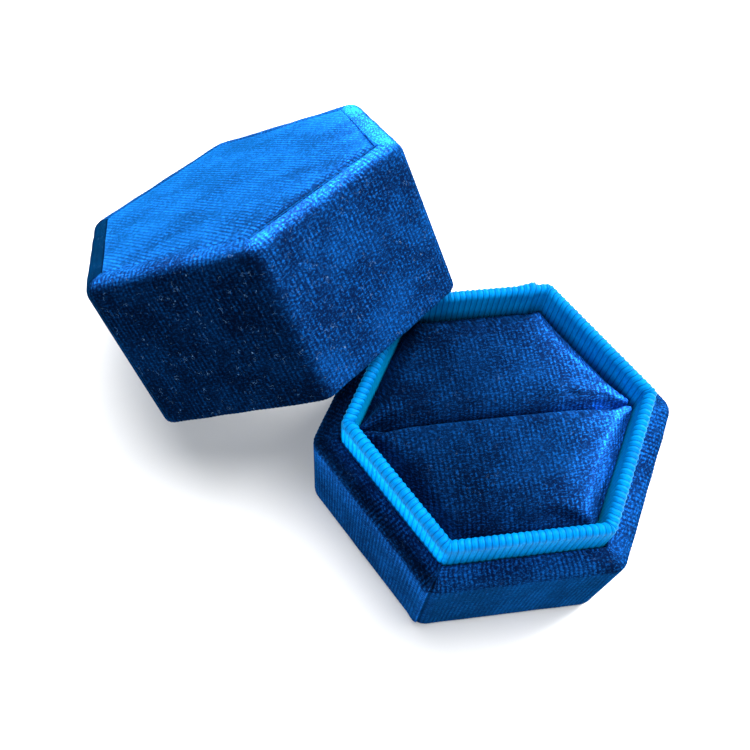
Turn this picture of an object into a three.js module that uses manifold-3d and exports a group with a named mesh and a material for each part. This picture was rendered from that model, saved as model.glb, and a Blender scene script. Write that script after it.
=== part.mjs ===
// A two-piece hexagonal ring box, covered in velvet. The base is a board tray with a neck standing
// inside its walls: a strip of card under a ribbed ribbon. The neck guides the lid, and holds an
// insert of two padded blocks with a slot between them for a ring. The lid is loose. It stands open
// on one corner of its rim and leans back on the neck.
//
// Millimetres, +Z up. The origin is the middle of the base's underside, on the table. The slot runs
// along X, from one corner of the hexagon to the opposite one.
import * as THREE from "three";
import { mergeVertices } from "three/addons/utils/BufferGeometryUtils.js";
import Module from "manifold-3d";

// Overall sizes
const boxWidth = 50.2; // outside, flat to flat
const ledgeHeight = 21.8; // table to the ledge that the lid closes on
const neckRise = 6.1; // neck above the ledge
const lidHeight = 25.9; // lid, rim to top

// Sheets and boards
const board = 2.0; // walls, bottom and top
const velvet = 0.8; // outer velvet
const turnedVelvet = 0.7; // velvet where it is pressed flat on the inside or underside
const lining = 0.4; // inside of the lid
const card = 1.0; // neck strip
const ribbon = 0.4;
const felt = 0.5; // sheet under the base
const insertCard = 0.8; // plate under the padded blocks
const lidPadding = 1.5; // soft lining under the lid's top

// Fits
const glueGap = 0.1; // between glued layers
const neckClearance = 0.45; // lid over neck, on each side
const padClearance = 0.15; // padded blocks inside the neck
const restGap = 0.3; // leaning lid to the neck and to the table

// Rounding
const cornerRound = 3.0; // upright velvet corners
const neckCornerRound = 1.6;
const sharpRound = 0.3; // smallest corner of any layer
const ledgeRound = 1.4; // outer edge of the ledge
const lidTopRound = 2.4; // outer edge of the lid's top
const hemRound = 0.35; // where the velvet folds round a board's end

// Turned-in velvet and ribbon
const ledgeTurnIn = 7.8; // down the inside of the base's wall
const underTurnIn = 7.0; // under the base
const rimTurnIn = 5.0; // up the inside of the lid's rim
const topTurnIn = 0.6; // over the lid's top edge, past the wall board
const ribbonDepth = 15.9; // ribbon, from the neck's top down each side
const feltInset = 2.0; // felt inside the base's outline
const neckJoint = 0.4; // between the ends of the neck strip
const neckJointPlace = 9.0; // along the rear side, from its middle

// Padded insert
const slotWidth = 1.0;
const padDrop = 1.7; // top of the pads below the neck's top
const padRound = 2.2; // rounding of the pads' top edges

// Lid's resting place
const leanHeading = THREE.MathUtils.degToRad(124.3); // where the lid stands, anticlockwise from +X
const leanSpin = THREE.MathUtils.degToRad(-22.9); // from the lean's direction to the low corner

const sides = 6;
const sideAngle = (2 * Math.PI) / sides;
const cornerSteps = 3; // facets round each upright corner
const arcSteps = 3; // facets round each folded edge
const crestSteps = 8; // points over the neck's top, where the lid may touch it
const crestSideSteps = 32; // points along each side of the neck's top
const tiltHalvings = 24; // steps of the search for the lid's tilt

// Layers, as distances from the middle to a side
const outer = boxWidth / 2;
const wallOuter = outer - velvet - glueGap;
const wallInner = wallOuter - board;
const lidLiningOuter = wallInner - glueGap;
const lidInner = lidLiningOuter - lining;
const topPanel = wallInner - topTurnIn;
const neckOuter = lidInner - neckClearance;
const cardOuter = neckOuter - ribbon - glueGap;
const cardInner = cardOuter - card;
const neckInner = cardInner - glueGap - ribbon;
const padOuter = neckInner - padClearance;

// Levels of the base, from the table up
const underVelvetLow = felt + glueGap;
const boardLow = underVelvetLow + turnedVelvet + glueGap;
const floorTop = boardLow + board;
const insertLow = floorTop + glueGap;
const padLow = insertLow + insertCard + glueGap;
const boardHigh = ledgeHeight - velvet - glueGap;
const neckTop = ledgeHeight + neckRise;
const padTop = neckTop - padDrop;

// Levels of the lid, from its rim up
const lidBoardLow = velvet + glueGap;
const lidBoardHigh = lidHeight - velvet - glueGap;
const lidTopBoardLow = lidBoardHigh - board;
const lidPadHigh = lidTopBoardLow - glueGap;
const lidPadLow = lidPadHigh - lidPadding;

const wasm = await Module();
wasm.setup();

// ---- materials ----

const surface = (color, roughness) => new THREE.MeshStandardMaterial({ color, roughness, metalness: 0 });
const velvetBlue = surface(0x123f8c, 0.85);
const liningBlue = surface(0x16489a, 0.8);
const ribbonBlue = surface(0x0f8fe0, 0.55);
const greyBoard = surface(0x9a948a, 0.9);
const whiteCard = surface(0xdedad0, 0.8);
const foamWhite = surface(0xe8e6de, 0.95);
const feltBlack = surface(0x15161a, 0.95);

// ---- hexagonal shapes ----

// Point on a hexagon with rounded corners, for one step round one corner. reach is the distance to
// a side, round the radius of the corners.
function hexPoint(reach, round, corner, step) {
  const middle = corner * sideAngle;
  const toCentre = (reach - round) / Math.cos(sideAngle / 2);
  const turn = middle + (step / cornerSteps - 0.5) * sideAngle;
  return new THREE.Vector2(
    toCentre * Math.cos(middle) + round * Math.cos(turn),
    toCentre * Math.sin(middle) + round * Math.sin(turn),
  );
}

// All the points of that hexagon, anticlockwise.
function hexPoints(reach, round) {
  const points = [];
  for (let corner = 0; corner < sides; corner++) {
    for (let step = 0; step <= cornerSteps; step++) points.push(hexPoint(reach, round, corner, step));
  }
  return points;
}

// Corner radius of a layer that lies inside an outline of the given reach and corner radius.
function innerRound(reach, outlineReach, outlineRound) {
  return Math.min(Math.max(outlineRound - (outlineReach - reach), sharpRound), reach);
}

// A section carried round the hexagon. Each point of the section is (distance to the side, height),
// anticlockwise, and the last point repeats the first. It is a lathe whose circles become hexagons.
function hexSweep(section, outlineReach, outlineRound) {
  const columns = sides * (cornerSteps + 1);
  const geometry = new THREE.LatheGeometry(section, columns);
  const position = geometry.getAttribute("position");
  for (let index = 0; index < position.count; index++) {
    const column = Math.floor(index / section.length) % columns;
    const { x: reach, y: height } = section[index % section.length];
    const round = innerRound(reach, outlineReach, outlineRound);
    const corner = Math.floor(column / (cornerSteps + 1));
    const place = hexPoint(reach, round, corner, column % (cornerSteps + 1));
    position.setXYZ(index, place.x, place.y, height);
  }
  return geometry;
}

// A flat hexagonal plate.
function hexPlate(reach, low, high, outlineReach = outer, outlineRound = cornerRound) {
  const outline = new THREE.Shape(hexPoints(reach, innerRound(reach, outlineReach, outlineRound)));
  const geometry = new THREE.ExtrudeGeometry(outline, { depth: high - low, bevelEnabled: false });
  return geometry.translate(0, 0, low);
}

// Points of an arc in a section, angles in quarter turns from the outward direction.
function sectionArc(centreReach, centreHeight, radius, from, to, steps = arcSteps) {
  const points = [];
  for (let step = 0; step <= steps; step++) {
    const angle = ((from + ((to - from) * step) / steps) * Math.PI) / 2;
    points.push(
      new THREE.Vector2(centreReach + radius * Math.cos(angle), centreHeight + radius * Math.sin(angle)),
    );
  }
  return points;
}

const at = (reach, height) => new THREE.Vector2(reach, height);
const closed = (points) => [...points, points[0].clone()];

// ---- joining and cutting ----

function toSolid(geometry) {
  const bare = geometry.clone();
  bare.deleteAttribute("normal");
  bare.deleteAttribute("uv");
  const merged = mergeVertices(bare, 1e-4);
  return new wasm.Manifold(
    new wasm.Mesh({
      numProp: 3,
      vertProperties: new Float32Array(merged.attributes.position.array),
      triVerts: new Uint32Array(merged.index.array),
    }),
  );
}

function toGeometry(solid) {
  const mesh = solid.getMesh();
  const geometry = new THREE.BufferGeometry();
  geometry.setAttribute("position", new THREE.BufferAttribute(mesh.vertProperties, 3));
  geometry.setIndex(new THREE.BufferAttribute(mesh.triVerts, 1));
  geometry.computeVertexNormals();
  return geometry;
}

function piece(name, geometry, material) {
  const mesh = new THREE.Mesh(geometry, material);
  mesh.name = name;
  return mesh;
}

// ---- boards ----

// Six upright wall boards with mitred ends, one along each side, cut from a hexagonal ring.
function wallPanels(name, low, high) {
  const hollow = toSolid(hexPlate(wallInner, low - board, high + board));
  const ring = toSolid(hexPlate(wallOuter, low, high)).subtract(hollow);
  const halfWidth = (reach) => reach * Math.tan(sideAngle / 2) - glueGap / 2;
  const nearReach = wallInner / 2;
  const farReach = 2 * wallOuter;
  const wedge = new THREE.Shape([
    at(nearReach, -halfWidth(nearReach)),
    at(farReach, -halfWidth(farReach)),
    at(farReach, halfWidth(farReach)),
    at(nearReach, halfWidth(nearReach)),
  ]);
  const panels = [];
  for (let side = 0; side < sides; side++) {
    const sector = new THREE.ExtrudeGeometry(wedge, { depth: high, bevelEnabled: false });
    sector.rotateZ((side + 0.5) * sideAngle);
    panels.push(piece(`${name}_${side + 1}`, toGeometry(ring.intersect(toSolid(sector))), greyBoard));
  }
  return panels;
}

// The card strip of the neck, bent round the six corners. Its ends meet in the rear side.
function neckStrip() {
  const middle = (cardOuter + cardInner) / 2;
  const crest = neckTop - ribbon - glueGap - card / 2;
  const section = closed([
    at(cardInner, insertLow),
    at(cardOuter, insertLow),
    ...sectionArc(middle, crest, card / 2, 0, 2, 2 * arcSteps),
  ]);
  const strip = toSolid(hexSweep(section, neckOuter, neckCornerRound));
  const joint = new THREE.BoxGeometry(neckJoint, 4 * card, 2 * neckTop);
  joint.translate(neckJointPlace, (cardOuter + cardInner) / 2, neckTop);
  return toGeometry(strip.subtract(toSolid(joint)));
}

// ---- covers ----

// Velvet of the base: under the edge, up the wall, over the ledge and down inside the wall.
function baseVelvet() {
  const insideFace = neckOuter + glueGap;
  const turnInLow = ledgeHeight - ledgeTurnIn;
  const section = closed([
    at(outer - underTurnIn, underVelvetLow),
    ...sectionArc(outer - velvet, underVelvetLow + velvet, velvet, -1, 0),
    ...sectionArc(outer - ledgeRound, ledgeHeight - ledgeRound, ledgeRound, 0, 1),
    ...sectionArc(insideFace + hemRound, ledgeHeight - hemRound, hemRound, 1, 2),
    at(insideFace, turnInLow),
    at(wallInner - glueGap, turnInLow),
    at(wallInner - glueGap, boardHigh + glueGap),
    at(wallOuter + glueGap, boardHigh + glueGap),
    at(wallOuter + glueGap, boardLow - glueGap),
    at(outer - underTurnIn, boardLow - glueGap),
  ]);
  return hexSweep(section, outer, cornerRound);
}

// Velvet of the lid's wall: up inside the rim, round it, up the wall and over the top edge.
function lidWallVelvet() {
  const section = closed([
    at(lidInner, rimTurnIn),
    ...sectionArc(lidInner + hemRound, hemRound, hemRound, -2, -1),
    ...sectionArc(outer - velvet, velvet, velvet, -1, 0),
    ...sectionArc(outer - lidTopRound, lidHeight - lidTopRound, lidTopRound, 0, 1),
    at(topPanel, lidHeight),
    at(topPanel, lidBoardHigh + glueGap),
    at(wallOuter + glueGap, lidBoardHigh + glueGap),
    at(wallOuter + glueGap, lidBoardLow - glueGap),
    at(lidLiningOuter, lidBoardLow - glueGap),
    at(lidLiningOuter, rimTurnIn),
  ]);
  return hexSweep(section, outer, cornerRound);
}

// Ribbon over the neck, down both sides, with a round top.
function neckRibbon() {
  const middle = (neckOuter + neckInner) / 2;
  const halfWidth = (neckOuter - neckInner) / 2;
  const crest = neckTop - halfWidth;
  const low = neckTop - ribbonDepth;
  const section = closed([
    at(neckOuter, low),
    ...sectionArc(middle, crest, halfWidth, 0, 2, 2 * arcSteps),
    at(neckInner, low),
    at(neckInner + ribbon, low),
    ...sectionArc(middle, crest, halfWidth - ribbon, 2, 0, 2 * arcSteps),
    at(neckOuter - ribbon, low),
  ]);
  return hexSweep(section, neckOuter, neckCornerRound);
}

// Lining of the lid's wall, from the turned-in velvet up to the padding.
function lidWallLining() {
  const low = rimTurnIn + glueGap;
  const section = closed([
    at(lidInner, low),
    at(lidLiningOuter, low),
    at(lidLiningOuter, lidPadHigh),
    at(lidInner, lidPadHigh),
  ]);
  return hexSweep(section, outer, cornerRound);
}

// ---- padded insert ----

// Half of the hexagon, on the -Y side of the slot, with a rounded top. inset shrinks it all round.
function halfBlock(inset, low, top) {
  const reach = padOuter - inset;
  const corner = reach / Math.cos(sideAngle / 2);
  const slotSide = slotWidth / 2 + inset;
  const slotEnd = corner - slotSide / Math.tan(sideAngle);
  const outline = new THREE.Shape([
    at(-slotEnd, -slotSide),
    at(-corner / 2, -reach),
    at(corner / 2, -reach),
    at(slotEnd, -slotSide),
  ]);
  const geometry = new THREE.ExtrudeGeometry(outline, {
    depth: top - low - padRound,
    bevelThickness: padRound,
    bevelSize: padRound,
    bevelOffset: -padRound,
    bevelSegments: arcSteps,
  });
  const below = new THREE.BoxGeometry(boxWidth, boxWidth, 4 * padRound);
  below.translate(0, 0, low - 2 * padRound);
  return toSolid(geometry.translate(0, 0, low)).subtract(toSolid(below));
}

// A velvet cover with its foam, for the front half or, turned half a turn, for the rear half.
function paddedBlock(place, turn) {
  const hollow = halfBlock(turnedVelvet, padLow - padRound, padTop - turnedVelvet);
  const cover = halfBlock(0, padLow, padTop).subtract(hollow);
  const core = halfBlock(turnedVelvet + glueGap, padLow, padTop - turnedVelvet - glueGap);
  const block = new THREE.Group();
  block.add(piece(`${place}_pad_cover`, toGeometry(cover), velvetBlue));
  block.add(piece(`${place}_foam`, toGeometry(core), foamWhite));
  block.rotation.z = turn;
  return block;
}

// ---- the lid's lean ----

// The lid's pose when it stands on one corner of its rim, tilted back towards the base.
function lidPose(tilt) {
  const pose = new THREE.Matrix4()
    .makeRotationZ(leanHeading)
    .multiply(new THREE.Matrix4().makeRotationY(tilt))
    .multiply(new THREE.Matrix4().makeRotationZ(leanSpin));
  const rim = hexPoints(outer, cornerRound).map((point) => new THREE.Vector3(point.x, point.y, 0));
  rim.forEach((point) => point.applyMatrix4(pose));
  const low = rim.reduce((lowest, point) => (point.z < lowest.z ? point : lowest));
  const reach = boxWidth / Math.cos(sideAngle / 2);
  return pose.setPosition(
    reach * Math.cos(leanHeading) - low.x,
    reach * Math.sin(leanHeading) - low.y,
    restGap - low.z,
  );
}

// Points all round the neck's round top.
function neckCrest() {
  const halfWidth = (neckOuter - neckInner) / 2;
  const arc = sectionArc(neckOuter - halfWidth, neckTop - halfWidth, halfWidth, 0, 2, crestSteps);
  const points = [];
  for (const { x: reach, y: height } of arc) {
    const outline = hexPoints(reach, innerRound(reach, neckOuter, neckCornerRound));
    outline.forEach((from, index) => {
      const to = outline[(index + 1) % outline.length];
      for (let step = 0; step < crestSideSteps; step++) {
        const place = from.clone().lerp(to, step / crestSideSteps);
        points.push(new THREE.Vector3(place.x, place.y, height));
      }
    });
  }
  return points;
}

// True if the lid's wall, with its gap, reaches the neck at this tilt.
function lidTouches(crest, tilt) {
  const toLid = lidPose(tilt).invert();
  return crest.some((point) => {
    const local = point.clone().applyMatrix4(toLid);
    let reach = 0;
    for (let side = 0; side < sides; side++) {
      const facing = (side + 0.5) * sideAngle;
      reach = Math.max(reach, local.x * Math.cos(facing) + local.y * Math.sin(facing));
    }
    return local.z > -restGap && reach > lidInner - restGap && reach < outer + restGap;
  });
}

// The least tilt at which the lid's wall clears the neck, found by halving.
function leaningPose() {
  const crest = neckCrest();
  let touching = THREE.MathUtils.degToRad(5);
  let clear = THREE.MathUtils.degToRad(85);
  for (let halving = 0; halving < tiltHalvings; halving++) {
    const tilt = (touching + clear) / 2;
    if (lidTouches(crest, tilt)) touching = tilt;
    else clear = tilt;
  }
  return lidPose(clear);
}

// ---- assembly ----

function makeBase() {
  const base = new THREE.Group();
  base.add(
    piece("base_underside_felt", hexPlate(outer - feltInset, 0, felt), feltBlack),
    piece("base_velvet_wrap", baseVelvet(), velvetBlue),
    piece("base_bottom_board", hexPlate(wallInner - glueGap, boardLow, floorTop), greyBoard),
    ...wallPanels("base_wall_panel", boardLow, boardHigh),
    piece("neck_card_strip", neckStrip(), whiteCard),
    piece("neck_ribbon", neckRibbon(), ribbonBlue),
    piece(
      "insert_card",
      hexPlate(cardInner - padClearance, insertLow, insertLow + insertCard, neckOuter, neckCornerRound),
      whiteCard,
    ),
    paddedBlock("front", 0),
    paddedBlock("rear", Math.PI),
  );
  return base;
}

function makeLid() {
  const lid = new THREE.Group();
  lid.add(
    piece("lid_velvet_wrap", lidWallVelvet(), velvetBlue),
    piece("lid_top_velvet", hexPlate(topPanel - glueGap, lidBoardHigh + glueGap, lidHeight), velvetBlue),
    piece("lid_top_board", hexPlate(wallInner - glueGap, lidTopBoardLow, lidBoardHigh), greyBoard),
    ...wallPanels("lid_wall_panel", lidBoardLow, lidBoardHigh),
    piece("lid_wall_lining", lidWallLining(), liningBlue),
    piece("lid_top_padding", hexPlate(lidInner - glueGap, lidPadLow, lidPadHigh), liningBlue),
  );
  leaningPose().decompose(lid.position, lid.quaternion, lid.scale);
  return lid;
}

const ringBox = new THREE.Group();
ringBox.add(makeBase(), makeLid());

export default ringBox;
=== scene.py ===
"""The looks of a hexagonal velvet ring box with a loose lid that leans on its base.

Shapes are worked out in millimetres, on the two bodies' own frames: the base's is the row frame, and
the lid's has its rim at level 0 and its top on +Z. They are turned into metres as each mesh is made.
A place on a hexagonal layer is its distance to the nearest side (its reach) and its level.
"""

import math

import bpy
import numpy as np
from mathutils import Matrix, Vector


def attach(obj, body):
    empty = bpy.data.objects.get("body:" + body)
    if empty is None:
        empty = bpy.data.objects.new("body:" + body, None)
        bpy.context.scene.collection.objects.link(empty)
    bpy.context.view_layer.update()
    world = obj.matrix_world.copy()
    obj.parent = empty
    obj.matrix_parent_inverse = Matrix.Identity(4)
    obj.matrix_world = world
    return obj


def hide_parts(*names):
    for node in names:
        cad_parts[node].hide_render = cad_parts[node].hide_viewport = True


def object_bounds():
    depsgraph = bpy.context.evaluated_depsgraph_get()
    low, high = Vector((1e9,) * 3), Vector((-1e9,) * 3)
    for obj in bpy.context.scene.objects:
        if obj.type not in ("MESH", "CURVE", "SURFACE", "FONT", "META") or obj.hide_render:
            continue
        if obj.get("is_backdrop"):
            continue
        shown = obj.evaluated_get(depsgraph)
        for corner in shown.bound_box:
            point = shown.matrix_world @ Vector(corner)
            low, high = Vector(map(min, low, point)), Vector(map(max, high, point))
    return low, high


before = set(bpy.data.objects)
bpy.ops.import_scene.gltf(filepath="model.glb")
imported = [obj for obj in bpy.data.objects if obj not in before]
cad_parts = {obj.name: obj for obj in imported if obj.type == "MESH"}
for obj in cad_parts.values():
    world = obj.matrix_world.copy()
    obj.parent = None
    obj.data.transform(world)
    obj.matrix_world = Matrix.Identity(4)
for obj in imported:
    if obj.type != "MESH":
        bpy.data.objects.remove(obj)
cad_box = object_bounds()

MM = 0.001
SIDES = 6
SIDE_ANGLE = 2 * math.pi / SIDES
SIDE_FACING = (np.arange(SIDES) + 0.5) * SIDE_ANGLE
SIDE_NORMALS = np.stack([np.cos(SIDE_FACING), np.sin(SIDE_FACING)])
TINY = 1e-9  # keeps a division clear of zero

# Cloth, in millimetres
VELVET = 0.8
TURNED_VELVET = 0.7
RIBBON = 0.4
GLUE_GAP = 0.1
VELVET_RIB = 0.70  # pitch of the knitted ribs in the velvet's backing
VELVET_RIB_HEIGHT = 0.05
VELVET_UNEVENNESS = 0.07
RIBBON_RIB = 0.96
RIBBON_RIB_HEIGHT = 0.15

# Fineness of the meshes, in millimetres where it is a spacing
VELVET_RIB_COLUMNS = 4  # mesh columns for each rib of the velvet walls
RIBBON_RIB_COLUMNS = 8
ROW_SPACING = 1.0
BACKING_SPACING = 3.0
PLATE_SPACING = 1.0
LINING_SPACING = 0.8
FEWEST_BEND_STEPS = 4

# Rounded edges, in millimetres
CORNER_ROUND = 3.0
NECK_CORNER_ROUND = 1.6
SHARP_ROUND = 0.3
LEDGE_ROUND = 1.4
LID_TOP_ROUND = 2.4
HEM_ROUND = 0.35


# ---- reading the CAD nodes ----


def corners_of(node, to_local):
    """A CAD node's vertices in a body's frame, in millimetres."""
    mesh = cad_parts[node].data
    places = np.zeros(len(mesh.vertices) * 3)
    mesh.vertices.foreach_get("co", places)
    turn = np.array(to_local.to_3x3())
    return (places.reshape(-1, 3) @ turn.T + np.array(to_local.translation)) / MM


def solid_middle(node):
    """The centre of volume of a CAD node, in metres."""
    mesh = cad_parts[node].data
    mesh.calc_loop_triangles()
    volume = 0.0
    moment = Vector()
    for triangle in mesh.loop_triangles:
        a, b, c = (mesh.vertices[index].co for index in triangle.vertices)
        part = a.dot(b.cross(c)) / 6
        volume += part
        moment += part * (a + b + c) / 4
    return moment / volume


def reach_of(places):
    """Distance of each place to the nearest side of its hexagon."""
    return (places[:, :2] @ SIDE_NORMALS).max(axis=1)


def soft_reach_of(places):
    """The same, with the steps from side to side smoothed away."""
    power = 9  # a higher one follows the corners more closely
    out = np.maximum(places[:, :2] @ SIDE_NORMALS, 0)
    return (out ** power).sum(axis=1) ** (1 / power)


class Layer:
    """The reaches and levels that a CAD node spans."""

    def __init__(self, node, to_local):
        places = corners_of(node, to_local)
        reach = reach_of(places)
        self.inner = reach.min()
        self.outer = reach.max()
        self.low = places[:, 2].min()
        self.high = places[:, 2].max()


def lid_place():
    """The matrix from the lid's frame to the row frame, from where its boards stand."""
    walls = [solid_middle(f"lid_wall_panel_{side + 1}") for side in range(SIDES)]
    middle = sum(walls, Vector()) / SIDES
    up = (solid_middle("lid_top_board") - middle).normalized()
    first = (walls[0] - middle).normalized()
    ahead = Matrix.Rotation(-SIDE_ANGLE / 2, 3, up) @ first
    turn = Matrix((ahead, up.cross(ahead), up)).transposed()
    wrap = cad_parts["lid_velvet_wrap"].data
    rim = min(up.dot(vertex.co - middle) for vertex in wrap.vertices)
    return Matrix.Translation(middle + rim * up) @ turn.to_4x4()


BASE = Matrix.Identity(4)
LID = lid_place()
PLACES = {"base": BASE, "lid": LID}


def layer(node, body):
    return Layer(node, PLACES[body].inverted())


# ---- hexagonal meshes ----


class Outline:
    """Columns round a rounded hexagon. Each is a step round a corner or along the side after it."""

    def __init__(self, reach, corner_round, spacing):
        self.reach = reach
        self.corner_round = corner_round
        straight = 2 * (reach - corner_round) * math.tan(SIDE_ANGLE / 2)
        bend = corner_round * SIDE_ANGLE
        bend_steps = max(FEWEST_BEND_STEPS, round(bend / spacing))
        side_steps = round(straight / spacing)
        corner, turn, share, along = [], [], [], []
        for index in range(SIDES):
            start = index * (bend + straight)
            for step in range(bend_steps):
                corner.append(index)
                turn.append(step / bend_steps - 0.5)
                share.append(0.0)
                along.append(start + bend * step / bend_steps)
            for step in range(side_steps):
                corner.append(index)
                turn.append(0.5)
                share.append(step / side_steps)
                along.append(start + bend + straight * step / side_steps)
        self.corner = np.array(corner)
        self.turn = np.array(turn)
        self.share = np.array(share)
        self.along = np.array(along)
        self.facing = (self.corner + self.turn) * SIDE_ANGLE
        self.length = SIDES * (bend + straight)

    def places(self, reach):
        """X and Y of every column, for an array of reaches, one for each column."""
        corner_round = np.maximum(self.corner_round - (self.reach - reach), SHARP_ROUND)
        to_centre = (reach - corner_round) / math.cos(SIDE_ANGLE / 2)
        middle = self.corner * SIDE_ANGLE
        angle = middle + self.turn * SIDE_ANGLE
        here = [
            to_centre * part(middle) + corner_round * part(angle) for part in (np.cos, np.sin)
        ]
        after = middle + SIDE_ANGLE
        there = [
            to_centre * part(after) + corner_round * part(after - SIDE_ANGLE / 2)
            for part in (np.cos, np.sin)
        ]
        return [a + (b - a) * self.share for a, b in zip(here, there)]


def arc(reach, level, radius, start, end, steps):
    """Points of an arc in a section, with its angles in quarter turns from the outward direction."""
    angles = (start + (end - start) * np.linspace(0, 1, steps + 1)) * math.pi / 2
    return [(reach + radius * math.cos(a), level + radius * math.sin(a)) for a in angles]


def refined(points, spacing):
    """The same section with points added along its long straight stretches."""
    result = []
    for (x0, y0), (x1, y1) in zip(points, points[1:]):
        steps = max(1, math.ceil(math.hypot(x1 - x0, y1 - y0) / spacing))
        result += [(x0 + (x1 - x0) * s / steps, y0 + (y1 - y0) * s / steps) for s in range(steps)]
    return result + [points[-1]]


def section_normals(section):
    """The outward direction at each point of a section that runs anticlockwise."""
    steps = np.diff(np.vstack([section, section[:1]]), axis=0)
    steps /= np.maximum(np.linalg.norm(steps, axis=1), TINY)[:, None]
    tangent = steps + np.roll(steps, 1, axis=0)
    tangent /= np.maximum(np.linalg.norm(tangent, axis=1), TINY)[:, None]
    return np.stack([tangent[:, 1], -tangent[:, 0]], axis=1)


def make_mesh(name, places, faces, cloth, body, material, painted_light=0.0):
    """A piece from places in its body's frame, in millimetres. cloth is (across, along) the cloth's ribs,
    in millimetres, for each corner of each face. painted_light is the painted light and shade at each
    place, as a factor on its colour: 0 is even, and each step of 1 is 2.7 times lighter."""
    turn = np.array(PLACES[body].to_3x3())
    row_places = places @ turn.T * MM + np.array(PLACES[body].translation)
    mesh = bpy.data.meshes.new(name)
    mesh.from_pydata(row_places.tolist(), [], faces)
    cloth_map = mesh.uv_layers.new(name="cloth")
    cloth_map.data.foreach_set("uv", np.asarray(cloth, dtype=float).ravel())
    mesh.polygons.foreach_set("use_smooth", [True] * len(mesh.polygons))
    # the painted light and shade, kept as a factor on the colour
    with_painted_light = mesh.attributes.new("painted_light", "FLOAT", "POINT")
    with_painted_light.data.foreach_set("value", np.broadcast_to(painted_light, len(places)).astype(float))
    mesh.materials.append(material)
    mesh.update()
    piece = bpy.data.objects.new(name, mesh)
    bpy.context.scene.collection.objects.link(piece)
    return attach(piece, body)


def sweep(name, section, outline, body, material, push=None, painted_light=None):
    """A closed section carried round the hexagon. push(along, index) is how far each column moves out
    at a point of the section, and painted_light(facing, reach, level) is its painted light and shade."""
    section = np.array(section[:-1])
    normals = section_normals(section)
    rows, columns = len(section), len(outline.along)
    places = np.zeros((rows, columns, 3))
    with_painted_light = np.zeros((rows, columns))
    for index, ((reach, level), (out, up)) in enumerate(zip(section, normals)):
        if painted_light:
            with_painted_light[index] = painted_light(outline.facing, reach, level)
        move = push(outline.along, index) if push else 0.0
        x, y = outline.places(reach + out * move + np.zeros(columns))
        places[index] = np.stack([x, y, np.full(columns, level) + up * move], axis=1)
    row = np.arange(rows)[:, None]
    column = np.arange(columns)[None, :]
    next_row = (row + 1) % rows
    next_column = (column + 1) % columns
    faces = np.stack(
        [row * columns + column, row * columns + next_column, next_row * columns + next_column,
         next_row * columns + column], axis=-1,
    ).reshape(-1, 4)
    steps = np.linalg.norm(np.diff(np.vstack([section, section[:1]]), axis=0), axis=1)
    down = np.concatenate([[0], np.cumsum(steps)])
    round_it = np.append(outline.along, outline.length)
    cloth = np.zeros((rows, columns, 4, 2))
    for corner, (down_step, round_step) in enumerate(((0, 0), (0, 1), (1, 1), (1, 0))):
        cloth[:, :, corner, 0] = round_it[np.arange(columns) + round_step][None, :]
        cloth[:, :, corner, 1] = down[np.arange(rows) + down_step][:, None]
    return make_mesh(
        name, places.reshape(-1, 3), faces.tolist(), cloth, body, material, with_painted_light.ravel()
    )


def plate(name, profile, outline, body, material, grain=0.0, push=None, painted_light=None):
    """A closed hexagonal plate. profile runs from the middle of its underside, out round its edge, to
    the middle of its top, and the ribs of its cloth lie at the angle grain."""
    inner = [point for point in profile if point[0] > 0]
    columns = len(outline.along)
    rings = []
    for reach, level in inner:
        x, y = outline.places(np.full(columns, reach))
        rings.append(np.stack([x, y, np.full(columns, level)], axis=1))
    places = np.concatenate([[[0, 0, profile[0][1]]], *rings, [[0, 0, profile[-1][1]]]])
    last = len(places) - 1
    faces = []
    for column in range(columns):
        after = (column + 1) % columns
        faces.append((0, 1 + after, 1 + column))
        for ring in range(len(rings) - 1):
            low = 1 + ring * columns
            high = low + columns
            faces.append((low + column, low + after, high + after, high + column))
        top = 1 + (len(rings) - 1) * columns
        faces.append((last, top + column, top + after))
    if push:
        places[:, 2] += push(places)
    across = -places[:, 0] * math.sin(grain) + places[:, 1] * math.cos(grain)
    along = places[:, 0] * math.cos(grain) + places[:, 1] * math.sin(grain)
    flat = np.stack([across, along], axis=1)
    cloth = np.concatenate([flat[list(face)] for face in faces])
    return make_mesh(name, places, faces, cloth, body, material, painted_light(places) if painted_light else 0.0)


# ---- sizes that several pieces share ----

OUTER = layer("base_velvet_wrap", "base").outer
NECK_OUTER = layer("neck_ribbon", "base").outer
WALL_OUTER = layer("base_wall_panel_1", "base").outer
WALL_INNER = layer("base_wall_panel_1", "base").inner
LID_INNER = layer("lid_wall_lining", "lid").inner
VELVET_OUTLINE = Outline(OUTER, CORNER_ROUND, VELVET_RIB / VELVET_RIB_COLUMNS)
VELVET_PITCH = VELVET_OUTLINE.length / round(VELVET_OUTLINE.length / VELVET_RIB)
RIBBON_OUTLINE = Outline(NECK_OUTER, NECK_CORNER_ROUND, RIBBON_RIB / RIBBON_RIB_COLUMNS)
RIBBON_PITCH = RIBBON_OUTLINE.length / round(RIBBON_OUTLINE.length / RIBBON_RIB)
PLATE_OUTLINE = Outline(OUTER, CORNER_ROUND, PLATE_SPACING)


# ---- material helpers ----


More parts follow.
